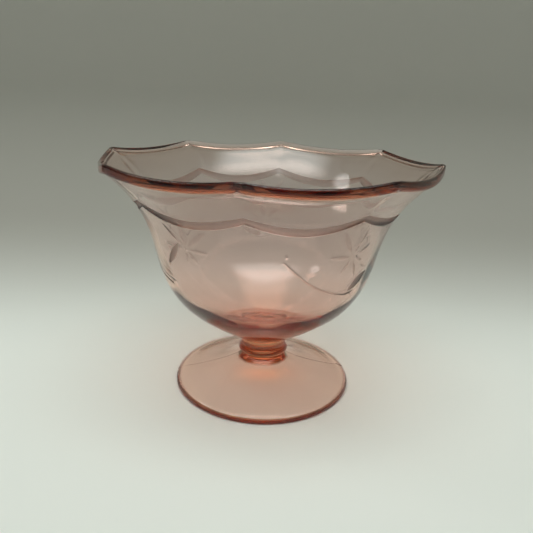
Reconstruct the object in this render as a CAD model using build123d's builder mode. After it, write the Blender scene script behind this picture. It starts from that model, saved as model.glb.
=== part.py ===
"""Footed glass candy dish: a flared eight-sided bowl, a spool stem and a domed foot.

Millimetres, +Z up, with the origin at the middle of the foot's resting ring.  The three pieces are
three gathers of glass joined hot, so each meets the next on one flat disc.
"""

from build123d import *
import os
from math import cos, radians, sin

os.makedirs("parts", exist_ok=True)

# Driving dimensions
total_height = 114.3
corner_radius = 79.4  # outermost glass at a rim corner
side_radius = 76.2  # outermost glass half way between two corners
rim_dip = 2.3  # how far the rim drops between two corners
bead_radius = 2.3  # rounded edge of the rim, flush with the wall inside and proud of it outside
foot_radius = 44.45
foot_edge_height = 2.75
stem_foot_joint = 15.75  # height of the disc where stem and foot meet
stem_bowl_joint = 24.9  # height of the disc where stem and bowl meet
stem_foot_radius = 9.6
stem_bowl_radius = 12.7

sides = 8
side_angle = 360 / sides
first_corner = -7.6  # azimuth of one rim corner

# Bowl: the wall is thick at the bottom, thins to 2.2 mm at the flare and thickens again to the rim
bowl_outside = [
    (stem_bowl_radius, stem_bowl_joint),
    (23.1, 31.1),
    (32.8, 37.8),
    (40.7, 44.5),
    (47.0, 53.3),
    (50.7, 62.2),
    (53.0, 71.1),
    (55.2, 80.0),
    (58.6, 88.9),
    (64.2, 97.8),
    (71.4, 106.4),
    (77.4, 111.6),
    (84.0, 115.8),
]
bowl_inside = [
    (82.0, 117.8),
    (75.76, 113.87),
    (72.56, 111.57),
    (69.4, 108.3),
    (62.4, 99.1),
    (56.6, 89.9),
    (53.0, 80.7),
    (50.7, 71.7),
    (48.2, 63.0),
    (44.6, 54.6),
    (38.2, 46.7),
    (30.2, 40.5),
    (20.1, 35.0),
    (10.0, 32.2),
    (0.0, 31.6),
]

# Swag cut round the bowl: one shallow arc below each side, its cusps below the rim's corners
swag_cusp = (64.6, 98.3)  # radius and height of the cut's middle line on the wall
swag_low = (61.4, 93.5)
swag_width = 4.0
swag_depth = 0.4
swag_overrun = 1.5  # degrees that neighbouring cuts cross at a cusp

# Foot: a thin dome, hollow below, standing on a ring
foot_top = [
    (43.5, foot_edge_height),
    (42.2, 3.5),
    (40.0, 4.15),
    (36.0, 5.0),
    (28.0, 7.1),
    (20.0, 9.7),
    (16.0, 11.3),
    (12.4, 13.2),
]
foot_underside = [(0.0, 10.4), (8.0, 10.0), (14.0, 8.6), (24.0, 5.2), (36.0, 1.6), (42.0, 0.0)]
ring_outer_radius = 43.2


def around(radius, height, azimuth):
    """The point at a radius, height and azimuth."""
    return (radius * cos(radians(azimuth)), radius * sin(radians(azimuth)), height)


def arc_plane(curve):
    """The plane square to a curve at its start."""
    return Plane(origin=curve @ 0, z_dir=curve % 0)


# Bowl ------------------------------------------------------------------------------------------
bead_corner = (corner_radius - bead_radius, total_height - bead_radius)
bead_side = (side_radius - bead_radius, total_height - bead_radius - rim_dip)
chord_radius = bead_corner[0] * cos(radians(side_angle / 2))
trim_run = (bead_side[0] - chord_radius) / rim_dip  # how much wider the trim gets per mm down
trim_top = 125.0


def trim_apothem(height):
    """Half the width across flats of the pyramid whose faces hold the eight rim arcs."""
    return chord_radius + (bead_corner[1] - height) * trim_run


swag_tool_radius = (swag_width**2 / 4 + swag_depth**2) / (2 * swag_depth)
wall_slope = Vector(swag_cusp[0] - swag_low[0], swag_cusp[1] - swag_low[1]).normalized()
tool_shift = swag_tool_radius - swag_depth
swag_tool_cusp = (swag_cusp[0] + tool_shift * wall_slope.Y, swag_cusp[1] - tool_shift * wall_slope.X)
swag_tool_low = (swag_low[0] + tool_shift * wall_slope.Y, swag_low[1] - tool_shift * wall_slope.X)

with BuildPart() as bowl:
    with BuildSketch(Plane.XZ):
        with BuildLine():
            outside = Spline(*bowl_outside)
            inside = Spline(*bowl_inside)
            Line(outside @ 1, inside @ 0)
            Polyline(inside @ 1, (0, stem_bowl_joint), outside @ 0)
        make_face()
    revolve(axis=Axis.Z)
    for height in (0, trim_top):
        with BuildSketch(Plane.XY.offset(height)):
            RegularPolygon(trim_apothem(height), sides, major_radius=False, rotation=first_corner)
    loft(mode=Mode.INTERSECT)
    for side in range(sides):
        start = first_corner + side * side_angle
        with BuildLine() as rim_arc:
            ThreePointArc(
                around(*bead_corner, start),
                around(*bead_side, start + side_angle / 2),
                around(*bead_corner, start + side_angle),
            )
        with BuildSketch(arc_plane(rim_arc.line)):
            Circle(bead_radius)
        sweep(path=rim_arc.line)
        with Locations(around(*bead_corner, start)):
            Sphere(bead_radius)
    for side in range(sides):
        start = first_corner + side * side_angle
        with BuildLine() as swag_arc:
            ThreePointArc(
                around(*swag_tool_cusp, start - swag_overrun),
                around(*swag_tool_low, start + side_angle / 2),
                around(*swag_tool_cusp, start + side_angle + swag_overrun),
            )
        with BuildSketch(arc_plane(swag_arc.line)):
            Circle(swag_tool_radius)
        sweep(path=swag_arc.line, mode=Mode.SUBTRACT)
bowl.part.label = "bowl"
export_step(bowl.part, "parts/bowl.step")

# Stem: a short spool with a rounded lip above the foot --------------------------------------------
with BuildPart() as stem:
    with BuildSketch(Plane.XZ):
        with BuildLine():
            waist = Spline((stem_bowl_radius, stem_bowl_joint), (11.3, 23.2), (11.3, 21.0), (12.5, 18.6))
            lip = ThreePointArc(waist @ 1, (12.7, 17.2), (11.6, 16.4))
            Line(lip @ 1, (stem_foot_radius, stem_foot_joint))
            Polyline((stem_foot_radius, stem_foot_joint), (0, stem_foot_joint), (0, stem_bowl_joint), waist @ 0)
        make_face()
    revolve(axis=Axis.Z)
stem.part.label = "stem"
export_step(stem.part, "parts/stem.step")

# Foot -------------------------------------------------------------------------------------------
with BuildPart() as foot:
    with BuildSketch(Plane.XZ):
        with BuildLine():
            edge = ThreePointArc((ring_outer_radius, 0), (foot_radius, foot_edge_height / 2), foot_top[0])
            top = Spline(*foot_top, (stem_foot_radius, stem_foot_joint))
            hollow = Spline(*foot_underside)
            Polyline(top @ 1, (0, stem_foot_joint), hollow @ 0)
            Line(hollow @ 1, edge @ 0)
        make_face()
    revolve(axis=Axis.Z)
foot.part.label = "foot"
export_step(foot.part, "parts/foot.step")
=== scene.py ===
"""Footed pink glass candy dish: bowl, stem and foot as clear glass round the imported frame."""

import math

import bmesh
import bpy
import numpy as np
from mathutils import Matrix, Vector


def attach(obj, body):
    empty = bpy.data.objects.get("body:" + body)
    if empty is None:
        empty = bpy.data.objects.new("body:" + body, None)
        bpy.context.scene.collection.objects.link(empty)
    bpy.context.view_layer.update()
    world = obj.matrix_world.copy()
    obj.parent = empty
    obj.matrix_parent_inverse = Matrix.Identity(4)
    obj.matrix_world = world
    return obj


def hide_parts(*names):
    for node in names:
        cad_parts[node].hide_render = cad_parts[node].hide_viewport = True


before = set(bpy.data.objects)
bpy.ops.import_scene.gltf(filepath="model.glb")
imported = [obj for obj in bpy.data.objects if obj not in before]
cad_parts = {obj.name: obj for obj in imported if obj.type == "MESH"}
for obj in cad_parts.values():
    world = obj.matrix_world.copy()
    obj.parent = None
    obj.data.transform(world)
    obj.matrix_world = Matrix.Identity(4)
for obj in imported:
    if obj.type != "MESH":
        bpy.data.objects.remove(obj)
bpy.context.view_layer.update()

MM = 0.001
JOIN_OVERLAP = 0.06  # mm that two gathers of glass run into each other where they are fused

# ------------------------------------------------------------------------------------ shape, in mm
SIDES = 8
CORNERS = np.array([-97.4, -55.0, -7.9, 38.0, 84.9, 127.4, 170.3, 217.8])  # azimuths, degrees
RIM_CORNER = (78.6, 113.2)  # radius and height of the middle of the rim's section at a corner
RIM_SIDE = (75.7, 110.9)  # the same half way along an average side
RIM_WALL = 3.0  # the wall's thickness at the rim
EDGE_LEAN = 35  # degrees that the edge leans back from square to the wall
EDGE_LIP = 1.0  # how far the edge's outer corner stands proud of the wall
EDGE_NECK = 1.4  # run of wall over which it does
EDGE_RUN = 5.0  # wall below the section's middle that belongs to the section
EDGE_ROUNDING = (1.2, 1.2, 0.9)  # radii of the neck, the outer corner and the inner corner
EDGE_CORNER_POINTS = 24  # points round each of those corners
SIDE_BULGE = 1.4  # how far a side bulges past half way from its chord to RIM_SIDE
BOWL_JOIN = 24.9  # heights where the stem meets the bowl and the foot
FOOT_JOIN = 15.75
STEM_TOP, STEM_BOTTOM = 12.7, 9.6  # the stem's radii there

BOWL_OUTSIDE = [(STEM_TOP, BOWL_JOIN), (23.1, 31.1), (32.8, 37.8), (40.7, 44.5), (47.0, 53.3),
                (50.7, 62.2), (53.0, 71.1), (55.2, 80.0), (58.6, 88.9), (64.2, 97.8), (71.4, 106.4),
                (77.4, 111.6), (84.0, 115.8)]
BOWL_INSIDE = [(0.0, 31.6), (10.0, 32.2), (20.1, 35.0), (30.2, 40.5), (38.2, 46.7), (44.6, 54.6),
               (48.2, 63.0), (50.7, 71.7), (53.0, 80.7), (56.6, 89.9), (62.4, 99.1),
               (69.4, 108.3), (72.56, 111.57), (75.76, 113.87), (82.0, 117.8)]
STEM_SIDE = [(11.6, 23.4), (11.25, 21.6), (11.6, 19.9), (12.3, 18.4), (12.55, 17.3), (12.0, 16.5),
             (10.7, 16.1)]  # between its two joins
FOOT_TOP = [(STEM_BOTTOM, FOOT_JOIN), (12.4, 13.2), (16.0, 11.3), (20.0, 9.7), (28.0, 7.1),
            (36.0, 5.0), (40.0, 4.15), (42.2, 3.5), (43.5, 2.75)]
FOOT_EDGE = [FOOT_TOP[-1], (44.2, 1.95), (44.42, 1.2), (44.2, 0.45), (43.7, 0.08), (43.2, 0.0)]
FOOT_BELOW = [(42.2, 0.0), (41.5, 0.08), (40.0, 0.45), (36.0, 1.6), (24.0, 5.2), (14.0, 8.6),
              (8.0, 10.0), (0.0, 10.4)]
CURVE_POINTS = 3000  # points that each smooth profile is worked out at


class Curve:
    """A smooth curve through (radius, height) points, walked by its length."""

    def __init__(self, points):
        p = np.array(points, float)
        chord = np.concatenate([[0], np.cumsum(np.hypot(*np.diff(p, axis=0).T))])
        n, step = len(p), np.diff(chord)
        matrix, right = np.eye(n), np.zeros((n, 2))
        for i in range(1, n - 1):
            matrix[i, i - 1 : i + 2] = step[i - 1], 2 * (step[i - 1] + step[i]), step[i]
            right[i] = 6 * ((p[i + 1] - p[i]) / step[i] - (p[i] - p[i - 1]) / step[i - 1])
        bend = np.linalg.solve(matrix, right)
        t = np.linspace(0, chord[-1], CURVE_POINTS)
        i = np.clip(np.searchsorted(chord, t) - 1, 0, n - 2)
        h, a = step[i][:, None], (t - chord[i])[:, None]
        b = h - a
        self.path = ((bend[i] * b**3 + bend[i + 1] * a**3) / (6 * h)
                     + (p[i] / h - bend[i] * h / 6) * b + (p[i + 1] / h - bend[i + 1] * h / 6) * a)
        self.lengths = np.concatenate([[0], np.cumsum(np.hypot(*np.diff(self.path, axis=0).T))])

    def at(self, length):
        """Radius and height, as rows, at each length."""
        return np.stack([np.interp(length, self.lengths, self.path[:, i]) for i in (0, 1)], -1)

    def at_height(self, height):
        """The length at which the curve reaches a height."""
        return np.interp(height, self.path[:, 1], self.lengths)

    def nearest(self, places):
        """The length at which the curve passes nearest each place."""
        gaps = ((self.path[None] - places[:, None]) ** 2).sum(-1)
        return self.lengths[gaps.argmin(1)]

    def heading(self, length, step):
        """Unit vectors along the curve and square to it, on its right, at each length."""
        d = self.at(length + step) - self.at(length - step)
        d /= np.maximum(np.hypot(*d.T), 1e-9)[:, None]  # never by nothing
        return d, np.stack([d[:, 1], -d[:, 0]], -1)


def smoothstep(low, high, x):
    """0 below low, 1 above high and a smooth rise between them."""
    t = np.clip((x - low) / (high - low), 0, 1)
    return t * t * (3 - 2 * t)


END_FADE = 0.12  # share of a section over which unevenness fades out at each end


def between_ends(t):
    """1 along a section, falling to 0 at its two ends."""
    return smoothstep(0, END_FADE, t) * (1 - smoothstep(1 - END_FADE, 1, t))


def signed_turn(degrees):
    """The same turn in degrees, brought into -180 to 180."""
    return (degrees + 180) % 360 - 180


def side_of(azimuth):
    """How far an azimuth is along its rim side, from -1 to 1, and half that side's angle."""
    turn = (azimuth - CORNERS[0]) % 360
    edges = np.append(CORNERS - CORNERS[0], 360)
    side = np.clip(np.searchsorted(edges, turn, side="right") - 1, 0, SIDES - 1)
    half = (edges[side + 1] - edges[side]) / 2
    return (turn - edges[side]) / half - 1, np.radians(half)


def rim(azimuth):
    """Radius and height, as rows, of the middle of the rim's section at each azimuth."""
    along, half = side_of(azimuth)
    chord = RIM_CORNER[0] * np.cos(half)
    reach = RIM_CORNER[0] * np.sin(half)
    bulge, dip = (RIM_SIDE[0] - chord) / 2 + SIDE_BULGE, RIM_CORNER[1] - RIM_SIDE[1]
    sag = np.hypot(bulge, dip)
    arc = (reach**2 + sag**2) / (2 * sag)
    out = chord
    for _ in range(8):  # each pass comes nearer to where the bulging arc crosses the azimuth
        across = out * np.tan(along * half)
        rise = np.clip((sag - arc + np.sqrt(arc**2 - across**2)) / sag, 0, 1)
        out = chord + bulge * rise
    return np.stack([np.hypot(out, across), RIM_CORNER[1] - dip * rise], -1)


def edge_section():
    """The rim's section from the outer wall over the edge to the inner wall: rows of x back along the
    wall from the section's middle and y towards the outside, and how far along it each row is."""
    half, lip = RIM_WALL / 2, RIM_WALL / 2 + EDGE_LIP
    back = (RIM_WALL + EDGE_LIP) * math.tan(math.radians(EDGE_LEAN)) / 2
    corners = np.array([(EDGE_RUN, half), (back + EDGE_NECK, half), (back, lip), (-back, -half),
                        (EDGE_RUN, -half)])
    rows = [corners[0]]
    for before, corner, after, radius in zip(corners, corners[1:], corners[2:], EDGE_ROUNDING):
        a, b = before - corner, after - corner
        a, b = a / np.hypot(*a), b / np.hypot(*b)
        half_angle = math.acos(a @ b) / 2
        turn = math.pi - 2 * half_angle
        middle = corner + (a + b) / np.hypot(*(a + b)) * radius / math.sin(half_angle)
        first = corner + a * radius / math.tan(half_angle) - middle
        last = corner + b * radius / math.tan(half_angle) - middle
        for t in np.linspace(0, 1, EDGE_CORNER_POINTS):
            rows.append(middle + (first * math.sin((1 - t) * turn) + last * math.sin(t * turn))
                        / math.sin(turn))
    rows = np.array([*rows, corners[-1]])
    step = np.diff(rows, axis=0)
    length = np.hypot(*step.T)
    heading = np.unwrap(np.arctan2(step[:, 1], step[:, 0]))
    turned_by = np.abs(np.diff(heading, prepend=heading[0]))
    share = length / length.sum() + turned_by / turned_by.sum()
    return rows, np.concatenate([[0], np.cumsum(share)]) / 2


EDGE_ROWS, EDGE_WALKED = edge_section()


# ------------------------------------------------------------------------- cut and engraved decoration
outside, inside = Curve(BOWL_OUTSIDE), Curve(BOWL_INSIDE)

SWAG_CUSP_HEIGHT, SWAG_LOW_HEIGHT = 98.3, 93.5
SWAG_HALF_WIDTH, SWAG_DEPTH = 2.2, 0.42
SWAG_NARROWING = 0.17  # share of its width that it loses at a cusp
SWAG_LEAN = 0.45  # how much deeper it is cut below its middle, and shallower above

# A spray is a flower of lens-shaped cuts on a stem with leaves. Its middle is an azimuth and a height;
# everything else is in mm round and up the wall from there. A petal has a direction in degrees, the
# distance it starts at, its length and its width; a leaf has its middle, direction, length and width;
# a dot is a round nick.
RIGHT_SPRAY = {
    "petals": [(175, 1.4, 10.8, 2.2), (127, 1.6, 16.0, 2.7), (80, 1.6, 12.9, 3.0), (28, 1.8, 9.0, 2.2),
               (-20, 1.6, 6.0, 1.5), (-65, 1.6, 9.7, 2.0), (-120, 1.8, 7.0, 1.9)],
    "leaves": [(8.2, -13.4, 38, 13.5, 4.6)],
    "dots": [(-30.2, 2.6), (2.3, 0.0)],
    "stem": [(-30.8, 0.0), (-23.8, -5.8), (-16.3, -11.3), (-10.6, -14.4), (-3.5, -17.2), (3.6, -18.5),
             (7.6, -17.9)]}
LEFT_SPRAY = {
    "petals": [(84, 1.6, 10.5, 3.8), (40, 1.8, 14.5, 3.0), (-1, 1.8, 9.0, 1.9), (-50, 1.6, 6.0, 1.7),
               (-95, 1.6, 5.0, 1.6), (130, 1.8, 13.0, 2.4), (176, 1.4, 11.0, 2.2)],
    "leaves": [(-8.8, -3.9, 50, 17.0, 3.6)],
    "dots": [(0.0, 0.0)],
    "stem": [(-34.0, -9.8), (-30.2, -14.6), (-25.6, -17.9), (-20.5, -19.1), (-14.3, -20.0)]}
SPRAYS = [(-50.8, 79.9, RIGHT_SPRAY), (-124.9, 81.5, LEFT_SPRAY), (20.5, 80.4, LEFT_SPRAY),
          (91.5, 80.8, RIGHT_SPRAY), (163.0, 80.2, RIGHT_SPRAY)]
PETAL_DEPTH, LEAF_DEPTH, STEM_LINE_DEPTH, STEM_LINE_WIDTH = 0.14, 0.22, 0.2, 0.7
PETAL_MATT, LEAF_MATT = 0.5, 0.85
DOT_RADIUS, DOT_DEPTH = 0.6, 0.2
SPRAY_REACH, SPRAY_RISE = 38.0, 30.0  # degrees and mm each way from a flower's middle
LENS_TIP = 0.05  # keeps a pointed cut's tips from becoming infinitely thin
MATT_RISE = 4  # how quickly a cut turns matt inwards from its edge
LINE_STEP = 60  # every how many of a curve's points an engraved line is measured from
FAR = 99.0  # mm, further than any engraving


def swag_middle(azimuth):
    """Length along the outside at which the middle of the swag runs."""
    along, _ = side_of(azimuth)
    drop = 1 - along**2
    return outside.at_height(SWAG_CUSP_HEIGHT + (SWAG_LOW_HEIGHT - SWAG_CUSP_HEIGHT) * drop)


def lens(u, v, direction, length, width, margin):
    """1 in the middle of a pointed lens-shaped cut, 0 at its edge and negative outside it."""
    a = math.radians(direction)
    along = (u * math.cos(a) + v * math.sin(a)) / (length / 2 + margin)
    across = (-u * math.sin(a) + v * math.cos(a)) / (width / 2 + margin)
    taper = 1 - along**2
    return taper - across**2 / np.maximum(taper, LENS_TIP)


def distance_to(line, u, v):
    """Distance from each place to a smooth line through points."""
    points = Curve(line).path[::LINE_STEP]
    near = np.full_like(u, FAR)
    for (ua, va), (ub, vb) in zip(points[:-1], points[1:]):
        run_u, run_v = ub - ua, vb - va
        t = np.clip(((u - ua) * run_u + (v - va) * run_v) / (run_u**2 + run_v**2), 0, 1)
        near = np.minimum(near, np.hypot(u - ua - t * run_u, v - va - t * run_v))
    return near


def engraving(azimuth, length, margin=0.0):
    """Depth in mm of the sprays at each place on the outside, and how matt they leave it from 0 to 1,
    with every cut grown by a margin."""
    depth, matt = np.zeros_like(azimuth), np.zeros_like(azimuth)
    for middle, height, spray in SPRAYS:
        turn = signed_turn(azimuth - middle)
        rise = length - outside.at_height(height)
        near = (np.abs(turn) < SPRAY_REACH) & (np.abs(rise) < SPRAY_RISE)
        u, v = np.radians(turn[near]) * outside.at(length[near])[:, 0], rise[near]
        shapes = []
        for direction, start, size, width in spray["petals"]:
            a, out = math.radians(direction), start + size / 2
            shape = lens(u - out * math.cos(a), v - out * math.sin(a), direction, size, width, margin)
            shapes.append((shape, PETAL_DEPTH, PETAL_MATT))
        for leaf_u, leaf_v, direction, size, width in spray["leaves"]:
            shapes.append((lens(u - leaf_u, v - leaf_v, direction, size, width, margin), LEAF_DEPTH,
                           LEAF_MATT))
        for dot_u, dot_v in spray["dots"]:
            gap = np.hypot(u - dot_u, v - dot_v) / (DOT_RADIUS + margin)
            shapes.append((1 - gap**2, DOT_DEPTH, 0))
        gap = distance_to(spray["stem"], u, v) / (STEM_LINE_WIDTH / 2 + margin)
        shapes.append((1 - gap**2, STEM_LINE_DEPTH, PETAL_MATT))
        for shape, deep, ground in shapes:
            depth[near] = np.maximum(depth[near], deep * np.clip(shape, 0, 1))
            matt[near] = np.maximum(matt[near], ground * np.clip(MATT_RISE * shape, 0, 1))
    return depth, matt


def swag_width(azimuth):
    """Half the swag's width at each azimuth: it narrows where two swags meet at a corner."""
    along, _ = side_of(azimuth)
    return SWAG_HALF_WIDTH * (1 - SWAG_NARROWING * along**4)


def swag_depth(azimuth, length):
    """Depth in mm of the swag at each place on the outside."""
    across = (length - swag_middle(azimuth)) / swag_width(azimuth)
    return SWAG_DEPTH * np.clip(1 - across**2, 0, 1) * (1 - SWAG_LEAN * across)


# ------------------------------------------------------------------------------- the bowl's surface
WAVES = ((2, 0.5), (3, 1), (5, 1.5), (7, 2), (11, 3), (17, 4))  # waves round, half waves up WAVE_RUN
WAVE_RUN = 120  # mm
BOWL_WAVES, TURNED_WAVES = 0.07, 0.05  # mm that the walls stray


def waviness(azimuth, length, seed, size):
    """The slow unevenness of hand-finished glass, in mm."""
    rng = np.random.default_rng(seed)
    total = np.zeros_like(azimuth)
    for turns, waves in WAVES:
        phase = rng.uniform(0, 2 * math.pi, 2)
        total += np.sin(np.radians(azimuth) * turns + phase[0]) * np.sin(
            length / WAVE_RUN * math.pi * waves + phase[1]) / turns**0.5
    return total * size


RIM_STEPS = 3600
ROUND_CORNER = 9  # steps of the rim table over which a corner is rounded
WALL_STEP = 0.2  # mm each way over which a wall's slope is taken


def rim_table():
    """Where the rim's section meets the two walls, and which way it points, all round."""
    azimuth = np.linspace(-180, 180, RIM_STEPS, endpoint=False)
    middle = rim(azimuth)
    soften = np.hanning(2 * ROUND_CORNER + 1)
    soften /= soften.sum()
    middle = np.stack([np.convolve(np.pad(m, ROUND_CORNER, mode="wrap"), soften, "valid")
                       for m in middle.T], -1)
    along = outside.nearest(middle)
    d, n = outside.heading(along, WALL_STEP)
    outer_end = middle - EDGE_RUN * d + RIM_WALL / 2 * n
    inner_end = middle - EDGE_RUN * d - RIM_WALL / 2 * n
    return {"azimuth": azimuth, "middle": middle, "d": d, "n": n, "outer_end": outer_end,
            "inner_end": inner_end, "outer_length": outside.nearest(outer_end)[:, None],
            "inner_length": inside.nearest(inner_end)[:, None]}


RIM = rim_table()
BLEND = 14.0  # mm of wall below the rim's section that bends to meet it


def at_rim(name, azimuth):
    """A row of the rim table at each azimuth."""
    return np.stack([np.interp(azimuth, RIM["azimuth"], column, period=360)
                     for column in RIM[name].T], -1)


SWAG_FROM, SWAG_TO = 1.70, 1.80  # parameter rows of the swag's edges on the outer wall
CREASE_WIDTH, CREASE_HEIGHT = 2.4, 0.45  # degrees and mm
CREASE_FROM, CREASE_TO = 22, 2  # mm below the section between which a crease grows
PINCH_WIDTH, PINCH_DEPTH = 0.75, 0.2  # degrees and a share of the section
SWELL, SWELL_WAVES = 0.015, 9  # how much the section swells and thins, and how often round the rim
STEADY_TOP, STEADY_FOOT = 6, (1, 8)  # mm at a wall's top and foot where its waves fade out
# Each wall: its curve, which way is out of the glass, and its seed
WALLS = {"outer": (outside, 1, 7), "inner": (inside, -1, 8)}


def corner_gap(azimuth):
    """Degrees from the nearest corner, signed."""
    gaps = signed_turn(azimuth[:, None] - CORNERS)
    return np.take_along_axis(gaps, np.abs(gaps).argmin(1)[:, None], 1)[:, 0]


def bowl_outer_length(azimuth, k):
    """Length along the outside for a parameter row, so that rows follow the swag's edges."""
    end = at_rim("outer_length", azimuth)[:, 0]
    middle, half = swag_middle(azimuth), swag_width(azimuth)
    low, high = middle - half, middle + half
    return np.where(k < SWAG_FROM, low * (k - 1) / (SWAG_FROM - 1),
                    np.where(k < SWAG_TO, low + (high - low) * (k - SWAG_FROM) / (SWAG_TO - SWAG_FROM),
                             high + (end - high) * (k - SWAG_TO) / (2 - SWAG_TO)))


def wall(name, azimuth, length, depth):
    """Radius and height on a wall, bent near the rim to meet its section, and cut to a depth."""
    curve, outward, seed = WALLS[name]
    end_length = at_rim(name + "_length", azimuth)[:, 0]
    blend = smoothstep(end_length - BLEND, end_length, length)
    shift = at_rim(name + "_end", azimuth) - curve.at(end_length)
    base = curve.at(length) + shift * blend[:, None]
    n = curve.heading(length, WALL_STEP)[1] * outward
    grown = smoothstep(end_length - CREASE_FROM, end_length - CREASE_TO, length) * (1 - blend**6)
    crease = CREASE_HEIGHT * outward * np.exp(-(corner_gap(azimuth) / CREASE_WIDTH) ** 2) * grown
    free = 1 - smoothstep(end_length - STEADY_TOP, end_length, length)
    waves = waviness(azimuth, length, seed, BOWL_WAVES) * (free * smoothstep(*STEADY_FOOT, length))
    return base + n * (crease - depth + waves)[:, None]


def bowl_point(azimuth, k):
    """Radius and height of the bowl's surface at azimuth and parameter row: 0 to 1 is the flat disc on
    the stem, 1 to 2 the outer wall, 2 to 3 the rim's edge and 3 to 4 the inner wall to the middle."""
    place = np.zeros((len(azimuth), 2))
    part = k < 1
    place[part] = np.stack([STEM_TOP * k[part], np.full(part.sum(), BOWL_JOIN)], -1)
    part = (k >= 1) & (k < 2)
    length = bowl_outer_length(azimuth[part], k[part])
    depth = swag_depth(azimuth[part], length) + engraving(azimuth[part], length)[0]
    place[part] = wall("outer", azimuth[part], length, depth)
    part = (k >= 2) & (k < 3)
    x, y = (np.interp(k[part] - 2, EDGE_WALKED, column) for column in EDGE_ROWS.T)
    pinch = np.exp(-(corner_gap(azimuth[part]) / PINCH_WIDTH) ** 2)
    swell = SWELL * np.sin(np.radians(azimuth[part]) * SWELL_WAVES + 1)
    size = 1 - PINCH_DEPTH * pinch + swell
    d, n = at_rim("d", azimuth[part]), at_rim("n", azimuth[part])
    scale = 1 + (size - 1) * between_ends(k[part] - 2)
    place[part] = at_rim("middle", azimuth[part]) - d * (x * scale)[:, None] + n * (y * scale)[:, None]
    part = k >= 3
    length = at_rim("inner_length", azimuth[part])[:, 0] * (4 - k[part])
    place[part] = wall("inner", azimuth[part], length, 0)
    return place


# ------------------------------------------------------------------------------------- meshes
def parameter_tube(azimuths, rows):
    """A tube of quads closed at both ends, whose points hold azimuth and parameter row."""
    bm = bmesh.new()
    turns = np.radians(azimuths)
    rings = [[bm.verts.new((math.cos(a), math.sin(a), row)) for a in turns] for row in rows[1:-1]]
    count = len(azimuths)
    for lower, upper in zip(rings[:-1], rings[1:]):
        for i in range(count):
            j = (i + 1) % count
            bm.faces.new((lower[i], lower[j], upper[j], upper[i]))
    for ring, row, flip in ((rings[0], rows[0], True), (rings[-1], rows[-1], False)):
        middle = bm.verts.new((0, 0, row))
        for i in range(count):
            j = (i + 1) % count
            bm.faces.new((ring[j], ring[i], middle) if flip else (ring[i], ring[j], middle))
    return bm


def parameters(bm):
    """Azimuth in degrees and parameter row of every point."""
    p = np.array([v.co for v in bm.verts])
    return np.degrees(np.arctan2(p[:, 1], p[:, 0])), p[:, 2]


def refine(bm, wanted):
    """Halve the edges whose two ends are both wanted."""
    azimuth, k = parameters(bm)
    keep = wanted(azimuth, k)
    bm.verts.index_update()
    edges = [e for e in bm.edges if keep[e.verts[0].index] and keep[e.verts[1].index]]
    bmesh.ops.subdivide_edges(bm, edges=edges, cuts=1, use_grid_fill=True)


SHARP_ANGLE = 40  # degrees between faces above which an edge is shaded sharp


def finish_mesh(name, bm, surface, cut, material):
    """Move every point from its parameters to the surface, and make the object."""
    bmesh.ops.triangulate(bm, faces=[f for f in bm.faces if len(f.verts) > 4])
    azimuth, k = parameters(bm)
    place = surface(azimuth, k)
    turn = np.radians(azimuth)
    points = np.stack([place[:, 0] * np.cos(turn), place[:, 0] * np.sin(turn), place[:, 1]], -1) * MM
    for vert, point in zip(bm.verts, points):
        vert.co = point
    if bm.calc_volume(signed=True) < 0:
        bmesh.ops.reverse_faces(bm, faces=bm.faces)
    mesh = bpy.data.meshes.new(name)
    bm.to_mesh(mesh)
    bm.free()
    mesh.polygons.foreach_set("use_smooth", [True] * len(mesh.polygons))
    mesh.set_sharp_from_angle(angle=math.radians(SHARP_ANGLE))
    layer = mesh.attributes.new("cut", "FLOAT", "POINT")
    layer.data.foreach_set("value", np.clip(cut(azimuth, k), 0, 1))
    mesh.materials.append(material)
    obj = bpy.data.objects.new(name, mesh)
    bpy.context.collection.objects.link(obj)
    print(name, len(mesh.vertices), "points", len(mesh.polygons), "faces")
    return obj


COLUMNS_PER_SIDE = 32
CROWDING = 0.6  # from 0, evenly spaced columns, to 1, columns crowded at the corners
# Rows across the swag, in half widths from its middle, and the gaps to the rows below and above it
SWAG_ROWS = np.array([-1.06, -1.0, -0.94, -0.8, -0.55, -0.25, 0.1, 0.45, 0.75, 0.93, 1.0, 1.06])
SWAG_GAPS = (0.012, 0.018)
REFINED_MARGINS = (1.6, 0.7, 0.25)  # mm round the engraving, where the mesh is halved once for each
SWAG_EDGE = 0.06  # share of its half width over which the swag turns matt
# Parameter rows between which the wall may be matt, the mesh follows the engraving, and it follows
# the pinches, and how many degrees each side of a corner it does that
MATT_ROWS, ENGRAVED_ROWS, PINCHED_ROWS, PINCH_REACH = (1.01, 1.99), (1.05, 1.95), (1.97, 3.03), 3.5


def side_columns():
    """Azimuths that crowd towards the corners."""
    x = np.linspace(-1, 1, COLUMNS_PER_SIDE, endpoint=False)
    along = (1 - CROWDING) * x + CROWDING * np.sin(x * math.pi / 2)
    edges = np.append(CORNERS, CORNERS[0] + 360)
    return np.concatenate([(a + b) / 2 + along * (b - a) / 2
                           for a, b in zip(edges[:-1], edges[1:])])


def bowl_rows():
    """Parameter rows from the disc on the stem, over the rim, to the middle of the inside."""
    middle, half = (SWAG_FROM + SWAG_TO) / 2, (SWAG_TO - SWAG_FROM) / 2
    return np.concatenate([
        [0.0, 0.3, 0.7, 0.97],
        np.linspace(1.0, SWAG_FROM - SWAG_GAPS[0], 58),
        middle + SWAG_ROWS * half,
        np.linspace(SWAG_TO + SWAG_GAPS[1], 2.0, 13, endpoint=False),
        np.linspace(2.0, 3.0, 30, endpoint=False),
        3 + np.linspace(0, 1, 62) ** 0.95])  # slightly further apart near the rim


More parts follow.
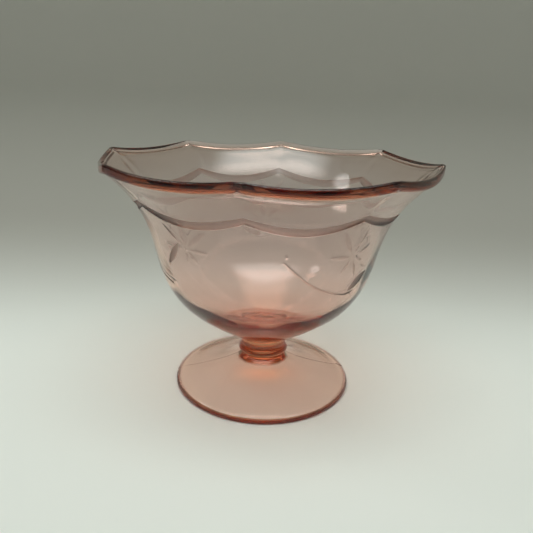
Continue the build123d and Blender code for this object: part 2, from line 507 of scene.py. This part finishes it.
def bowl_cut(azimuth, k):
    """How matt the surface is, and so how much painted shade darkens it: 1 in the swag, and less in
    the sprays.
    """
    on_wall = (k > MATT_ROWS[0]) & (k < MATT_ROWS[1])
    value = np.zeros_like(azimuth)
    length = bowl_outer_length(azimuth[on_wall], k[on_wall])
    across = np.abs(length - swag_middle(azimuth[on_wall])) / swag_width(azimuth[on_wall])
    spray = engraving(azimuth[on_wall], length)[1]
    value[on_wall] = np.maximum(np.clip((1.0 - across) / SWAG_EDGE, 0, 1), spray)
    return value


def near_engraving(margin):
    """A test for the points of the outer wall that lie within a margin of the engraving."""
    def wanted(azimuth, k):
        found = np.zeros(len(azimuth), bool)
        part = (k > ENGRAVED_ROWS[0]) & (k < ENGRAVED_ROWS[1])
        length = bowl_outer_length(azimuth[part], k[part])
        found[part] = engraving(azimuth[part], length, margin)[0] > 0
        return found
    return wanted


def near_pinch(azimuth, k):
    """Which points lie on the rim's edge near a corner."""
    on_edge = (k > PINCHED_ROWS[0]) & (k < PINCHED_ROWS[1])
    return (np.abs(corner_gap(azimuth)) < PINCH_REACH) & on_edge


def make_bowl(material):
    """The bowl, with a finer mesh where it is engraved and pinched."""
    bm = parameter_tube(side_columns(), bowl_rows())
    for margin in REFINED_MARGINS:
        refine(bm, near_engraving(margin))
    refine(bm, near_pinch)
    return finish_mesh("bowl_glass", bm, bowl_point, bowl_cut, material)


SEAMS = (9.0, 181.0)  # azimuths of the mould seams, degrees
SEAM_HEIGHT, SEAM_WIDTH = 0.045, 0.3  # mm
SEAM_COLUMNS = (-1.3, -0.8, -0.45, -0.2, 0, 0.2, 0.45, 0.8, 1.3)  # degrees from a seam
PLAIN_STEP, SEAM_CLEAR = 2.25, 1.9  # degrees between the other columns, and from them to a seam
NICK_FROM = (39.6, 42.9)  # radius at which each seam's nick starts
NICK_RUN = 1.2  # mm over which a nick reaches its depth
NICK_DEPTH, NICK_WIDTH = 0.32, 0.26  # mm
NICK_SWAY, NICK_SWAY_RATE = 0.22, 2.2  # mm that a nick wanders, and radians of its wave per mm
TURNED_STEP = 0.05  # mm each way over which the slope of a turned profile is taken


def ring_columns():
    """Azimuths of the foot and stem, crowded at the two mould seams."""
    extra = [seam + offset for seam in SEAMS for offset in SEAM_COLUMNS]
    plain = [a for a in np.arange(-180, 180, PLAIN_STEP)
             if min(abs(signed_turn(a - seam)) for seam in SEAMS) > SEAM_CLEAR]
    return np.array(sorted(signed_turn(a) for a in [*plain, *extra]))


def turned(name, sections, shown, rows_each, seed, cut, material):
    """A turned piece from sections of smooth profile. The shown ones have mould seams, which end in
    nicks at the foot's edge, and a little unevenness."""
    curves = [Curve(s) for s in sections]

    def surface(azimuth, k):
        place = np.zeros((len(azimuth), 2))
        for i, curve in enumerate(curves):
            part = (k >= i) & (k <= i + 1) if i == len(curves) - 1 else (k >= i) & (k < i + 1)
            length = curve.lengths[-1] * (k[part] - i)
            place[part] = curve.at(length)
            if i in shown:
                _, into_glass = curve.heading(length, TURNED_STEP)
                ends = between_ends(k[part] - i)
                bump = waviness(azimuth[part], length, seed, TURNED_WAVES) * ends
                radius = place[part][:, 0]
                for seam, nick_from in zip(SEAMS, NICK_FROM):
                    arc = np.radians(signed_turn(azimuth[part] - seam)) * radius
                    bump += SEAM_HEIGHT * np.exp(-((arc / SEAM_WIDTH) ** 2)) * ends
                    crooked = arc - NICK_SWAY * np.sin(NICK_SWAY_RATE * radius)
                    bump -= (NICK_DEPTH * np.exp(-((crooked / NICK_WIDTH) ** 2))
                             * smoothstep(nick_from, nick_from + NICK_RUN, radius))
                place[part] -= into_glass * bump[:, None]
        place[:, 1] = np.maximum(place[:, 1], 0)  # nothing sinks below the resting ring
        return place

    rows = np.concatenate([np.linspace(i, i + 1, n, endpoint=False) for i, n in enumerate(rows_each)]
                          + [[len(rows_each)]])
    bm = parameter_tube(ring_columns(), rows)
    return finish_mesh(name, bm, surface, cut, material)


STEM_SEED, FOOT_SEED = 21, 22
RING_MATT = 0.7  # how matt the resting ring is worn, and so how much painted shade darkens it
RING_ROWS = (2.9, 4.02)  # parameter rows of the worn ring, a little past both its edges
RING_MIDDLE = 42.7  # its radius
STEM_ROWS, FOOT_ROWS = (4, 34, 3), (3, 36, 12, 5, 30)  # parameter rows in each of their sections


def make_stem(material):
    """The stem, run a little into the bowl and the foot."""
    top, bottom = BOWL_JOIN + JOIN_OVERLAP, FOOT_JOIN - JOIN_OVERLAP
    sections = [[(0, top), (6, top), (STEM_TOP, top)],
                [(STEM_TOP, top), *STEM_SIDE, (STEM_BOTTOM, bottom)],
                [(STEM_BOTTOM, bottom), (4, bottom), (0, bottom)]]

    def polished(azimuth, k):
        return np.zeros_like(azimuth)

    return turned("stem_glass", sections, (1,), STEM_ROWS, STEM_SEED, polished, material)


def make_foot(material):
    """The foot, from the disc under the stem over its edge to the middle of its hollow."""
    sections = [[(0, FOOT_JOIN), (4, FOOT_JOIN), FOOT_TOP[0]], FOOT_TOP, FOOT_EDGE,
                [FOOT_EDGE[-1], (RING_MIDDLE, 0.0), FOOT_BELOW[0]], FOOT_BELOW]

    def worn(azimuth, k):
        return np.where((k > RING_ROWS[0]) & (k < RING_ROWS[1]), RING_MATT, 0.0)

    return turned("foot_glass", sections, (1, 2), FOOT_ROWS, FOOT_SEED, worn, material)


# ------------------------------------------------------------------------------------- materials
CUT_PAINTED_SHADE = (0.66, 0.52, 0.50)  # painted shade: cut and worn glass is coloured darker than polished glass
GLASS_IOR = 1.51
ROUGHNESS = (0.015, 0.5)  # of polished and of ground glass
FINE_SCALE, FINE_DETAIL, FINE_HEIGHT = 900, 6, 0.0002  # the grain, its height in metres
FINE_STRENGTH = (0.02, 0.5)  # of the grain on polished and on ground glass
SLOW_SCALE, SLOW_DETAIL, SLOW_HEIGHT, SLOW_STRENGTH = 55, 3, 0.0004, 0.04  # ripples in the polish
PAPER_ROUGHNESS, PAPER_SHEEN = 0.9, 0.1
FLOOR_COLOUR = (0.80, 0.84, 0.79)
# the backdrop's paper, darkened with painted shade
BACKDROP_PAINTED_SHADE = (0.36, 0.36, 0.32)
PAPER_SHADE_FADE = (0, 0.24)  # metres back plus metres up between which painted shade darkens the paper


def add_node(tree, kind, inputs=(), **settings):
    """A new shader node, with its settings and the values of some of its inputs."""
    node = tree.nodes.new("ShaderNode" + kind)
    for name, value in settings.items():
        setattr(node, name, value)
    for name, value in dict(inputs).items():
        node.inputs[name].default_value = value
    return node


def map_range(tree, value, before, after=(0, 1), interpolation="LINEAR"):
    """A value mapped from one range to another, and held at its ends."""
    ends = {"From Min": before[0], "From Max": before[1], "To Min": after[0], "To Max": after[1]}
    node = add_node(tree, "MapRange", ends, interpolation_type=interpolation)
    tree.links.new(value, node.inputs["Value"])
    return node.outputs["Result"]


def new_material(name):
    """A material, its node tree and its shader."""
    material = bpy.data.materials.new(name)
    material.use_nodes = True
    return material, material.node_tree, material.node_tree.nodes["Principled BSDF"]


def glass(name, tint, density, colour):
    """Clear tinted glass: grainy, matt and darkened with painted shade where the mesh's cut value is
    high, and otherwise polished, with a trace of grain and ripple."""
    material, tree, shader = new_material(name)
    shader.inputs["Transmission Weight"].default_value = 1
    shader.inputs["IOR"].default_value = GLASS_IOR
    coords = add_node(tree, "TexCoord")
    cut = add_node(tree, "Attribute", attribute_name="cut").outputs["Fac"]

    # the glass's own tint, mixed towards painted shade where the glass is cut or worn
    tint_and_shade = add_node(tree, "Mix", data_type="RGBA")
    tint_and_shade.inputs["A"].default_value = (*tint, 1)
    tint_and_shade.inputs["B"].default_value = (*CUT_PAINTED_SHADE, 1)
    tree.links.new(cut, tint_and_shade.inputs["Factor"])
    tree.links.new(tint_and_shade.outputs["Result"], shader.inputs["Base Color"])
    tree.links.new(map_range(tree, cut, (0, 1), ROUGHNESS), shader.inputs["Roughness"])

    fine = add_node(tree, "TexNoise", {"Scale": FINE_SCALE, "Detail": FINE_DETAIL})
    fine_bump = add_node(tree, "Bump", {"Distance": FINE_HEIGHT})
    tree.links.new(map_range(tree, cut, (0, 1), FINE_STRENGTH), fine_bump.inputs["Strength"])
    slow = add_node(tree, "TexNoise", {"Scale": SLOW_SCALE, "Detail": SLOW_DETAIL})
    slow_bump = add_node(tree, "Bump", {"Distance": SLOW_HEIGHT, "Strength": SLOW_STRENGTH})
    for noise, bump in ((fine, fine_bump), (slow, slow_bump)):
        tree.links.new(coords.outputs["Object"], noise.inputs["Vector"])
        tree.links.new(noise.outputs["Fac"], bump.inputs["Height"])
    tree.links.new(fine_bump.outputs["Normal"], slow_bump.inputs["Normal"])
    tree.links.new(slow_bump.outputs["Normal"], shader.inputs["Normal"])

    volume = add_node(tree, "VolumeAbsorption", {"Color": (*colour, 1), "Density": density})
    tree.links.new(volume.outputs["Volume"], tree.nodes["Material Output"].inputs["Volume"])
    return material


def paper():
    """Matt paper with painted shade that darkens it from the floor at the front to the backdrop."""
    material, tree, shader = new_material("paper")
    shader.inputs["Roughness"].default_value = PAPER_ROUGHNESS
    shader.inputs["Specular IOR Level"].default_value = PAPER_SHEEN
    coords, axes = add_node(tree, "TexCoord"), add_node(tree, "SeparateXYZ")
    tree.links.new(coords.outputs["Object"], axes.inputs["Vector"])
    back = add_node(tree, "Math", operation="ADD")
    tree.links.new(axes.outputs["Y"], back.inputs[0])
    tree.links.new(axes.outputs["Z"], back.inputs[1])
    # the floor's colour, darkened with painted shade towards the backdrop
    mix = add_node(tree, "Mix", data_type="RGBA")
    mix.inputs["A"].default_value = (*FLOOR_COLOUR, 1)
    mix.inputs["B"].default_value = (*BACKDROP_PAINTED_SHADE, 1)
    fade = map_range(tree, back.outputs["Value"], PAPER_SHADE_FADE, interpolation="SMOOTHSTEP")
    tree.links.new(fade, mix.inputs["Factor"])
    tree.links.new(mix.outputs["Result"], shader.inputs["Base Color"])
    return material


# ------------------------------------------------------------------------------------- the room
FLOOR_HEIGHT = -0.0001  # metres, just below the resting ring
SWEEP_FRONT, SWEEP_BEND, SWEEP_RADIUS, SWEEP_TOP, SWEEP_HALF_WIDTH = -3.0, 0.10, 0.14, 2.0, 3.0
SWEEP_STEPS = 24
LIGHT_EDGE, LIGHT_CORE, LIGHT_PEAK = 0.5, 0.2, 2.0  # where a light ends and is full, and its peak
WORLD_RISE, WORLD_GLOW = (0.1, 0.9), (0.05, 0.42)  # how steeply up one looks, and the light there
SIDE_RISE, SIDE_GLOW = (0.3, 0.9), (0, 0.12)  # the same for looking left or right
WORLD_COLOUR = (1.0, 0.98, 0.95)
LIGHT_TARGET = (0, 0, 0.05)  # the middle of the dish, in metres
CAMERA_PLACE = (0, -0.242, 0.1412)
CAMERA_TURNS = (0.3227, 0.0017, 0.0355)  # pitch down, yaw to the right and roll, in radians
CAMERA_LENS, CAMERA_SENSOR = 34.90, 36  # mm
BOUNCES = 96  # light that runs along inside the glass meets its walls many times


def make_sweep():
    """A floor that curves up into a backdrop behind the dish."""
    profile = [(SWEEP_FRONT, FLOOR_HEIGHT), (SWEEP_BEND, FLOOR_HEIGHT)]
    for i in range(1, SWEEP_STEPS + 1):
        a = math.pi / 2 * i / SWEEP_STEPS
        profile.append((SWEEP_BEND + SWEEP_RADIUS * math.sin(a),
                        FLOOR_HEIGHT + SWEEP_RADIUS * (1 - math.cos(a))))
    profile.append((SWEEP_BEND + SWEEP_RADIUS, SWEEP_TOP))
    mesh = bpy.data.meshes.new("sweep")
    verts = [(x, y, z) for y, z in profile for x in (-SWEEP_HALF_WIDTH, SWEEP_HALF_WIDTH)]
    faces = [(2 * i, 2 * i + 1, 2 * i + 3, 2 * i + 2) for i in range(len(profile) - 1)]
    mesh.from_pydata(verts, [], faces)
    mesh.polygons.foreach_set("use_smooth", [True] * len(faces))
    mesh.materials.append(paper())
    obj = bpy.data.objects.new("sweep", mesh)
    bpy.context.collection.objects.link(obj)
    return obj


def soft_light(name, place, target, size, power, colour):
    """An oval light, brightest in its middle."""
    data = bpy.data.lights.new(name, "AREA")
    data.shape = "ELLIPSE"
    data.size, data.size_y = size
    data.energy = power
    data.color = colour
    data.use_nodes = True
    tree = data.node_tree
    on_light = add_node(tree, "NewGeometry")
    centred = add_node(tree, "VectorMath", {1: (0.5, 0.5, 0)}, operation="SUBTRACT")
    tree.links.new(on_light.outputs["Parametric"], centred.inputs[0])
    distance = add_node(tree, "VectorMath", operation="LENGTH")
    tree.links.new(centred.outputs[0], distance.inputs[0])
    fall = map_range(tree, distance.outputs["Value"], (LIGHT_EDGE, LIGHT_CORE), (0, LIGHT_PEAK),
                     "SMOOTHSTEP")
    tree.links.new(fall, tree.nodes["Emission"].inputs["Strength"])
    obj = bpy.data.objects.new(name, data)
    obj.location = place
    obj.rotation_euler = (Vector(target) - Vector(place)).to_track_quat("-Z", "Y").to_euler()
    bpy.context.collection.objects.link(obj)


def light_room():
    """Dim walls that brighten towards the ceiling, and a little towards the left and right."""
    world = bpy.data.worlds.new("room")
    world.use_nodes = True
    tree = world.node_tree
    coords, axes = add_node(tree, "TexCoord"), add_node(tree, "SeparateXYZ")
    tree.links.new(coords.outputs["Generated"], axes.inputs["Vector"])
    aside = add_node(tree, "Math", operation="ABSOLUTE")
    tree.links.new(axes.outputs["X"], aside.inputs[0])
    both = add_node(tree, "Math", operation="MAXIMUM")
    tree.links.new(map_range(tree, axes.outputs["Z"], WORLD_RISE, WORLD_GLOW, "SMOOTHSTEP"),
                   both.inputs[0])
    tree.links.new(map_range(tree, aside.outputs[0], SIDE_RISE, SIDE_GLOW, "SMOOTHSTEP"),
                   both.inputs[1])
    background = tree.nodes["Background"]
    tree.links.new(both.outputs[0], background.inputs["Strength"])
    background.inputs["Color"].default_value = (*WORLD_COLOUR, 1)
    bpy.context.scene.world = world


def make_camera():
    """The photo's camera, fitted to the dish's foot and rim corners."""
    data = bpy.data.cameras.new("camera")
    data.sensor_width = CAMERA_SENSOR
    data.lens = CAMERA_LENS
    data.clip_start = 0.01
    obj = bpy.data.objects.new("camera", data)
    bpy.context.collection.objects.link(obj)
    pitch, yaw, roll = CAMERA_TURNS
    forward = Vector((math.sin(yaw) * math.cos(pitch), math.cos(yaw) * math.cos(pitch),
                      -math.sin(pitch)))
    right = Vector((math.cos(yaw), -math.sin(yaw), 0))
    up = right.cross(forward)
    side = right * math.cos(roll) + up * math.sin(roll)
    rise = up * math.cos(roll) - right * math.sin(roll)
    turn = Matrix((side, rise, -forward)).transposed().to_4x4()
    obj.matrix_world = Matrix.Translation(CAMERA_PLACE) @ turn
    bpy.context.scene.camera = obj


PINK = (0.86, 0.49, 0.21)  # what a thick piece lets through
pieces = {"bowl": make_bowl(glass("pink_glass_bowl", (1, 0.95, 0.99), 108, PINK)),
          "stem": make_stem(glass("pink_glass_stem", (1, 0.985, 0.985), 85, PINK)),
          "foot": make_foot(glass("pink_glass_foot", (0.98, 0.965, 1), 90, PINK))}
for node, piece in pieces.items():
    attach(piece, "root")
    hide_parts(node)

make_sweep()
soft_light("overhead", (0, -0.2, 1.3), LIGHT_TARGET, (1.9, 0.9), 10.5, (0.96, 1, 0.97))
soft_light("key", (-1.0, 0.1, 1.08), LIGHT_TARGET, (0.5, 0.42), 1.3, (1, 0.98, 0.94))
light_room()
make_camera()

scene = bpy.context.scene
scene.view_settings.view_transform = "Standard"
scene.cycles.blur_glossy = 0
scene.cycles.max_bounces = BOUNCES
scene.cycles.transmission_bounces = BOUNCES
scene.cycles.glossy_bounces = BOUNCES
scene.cycles.volume_bounces = 2
scene.cycles.transparent_max_bounces = 16
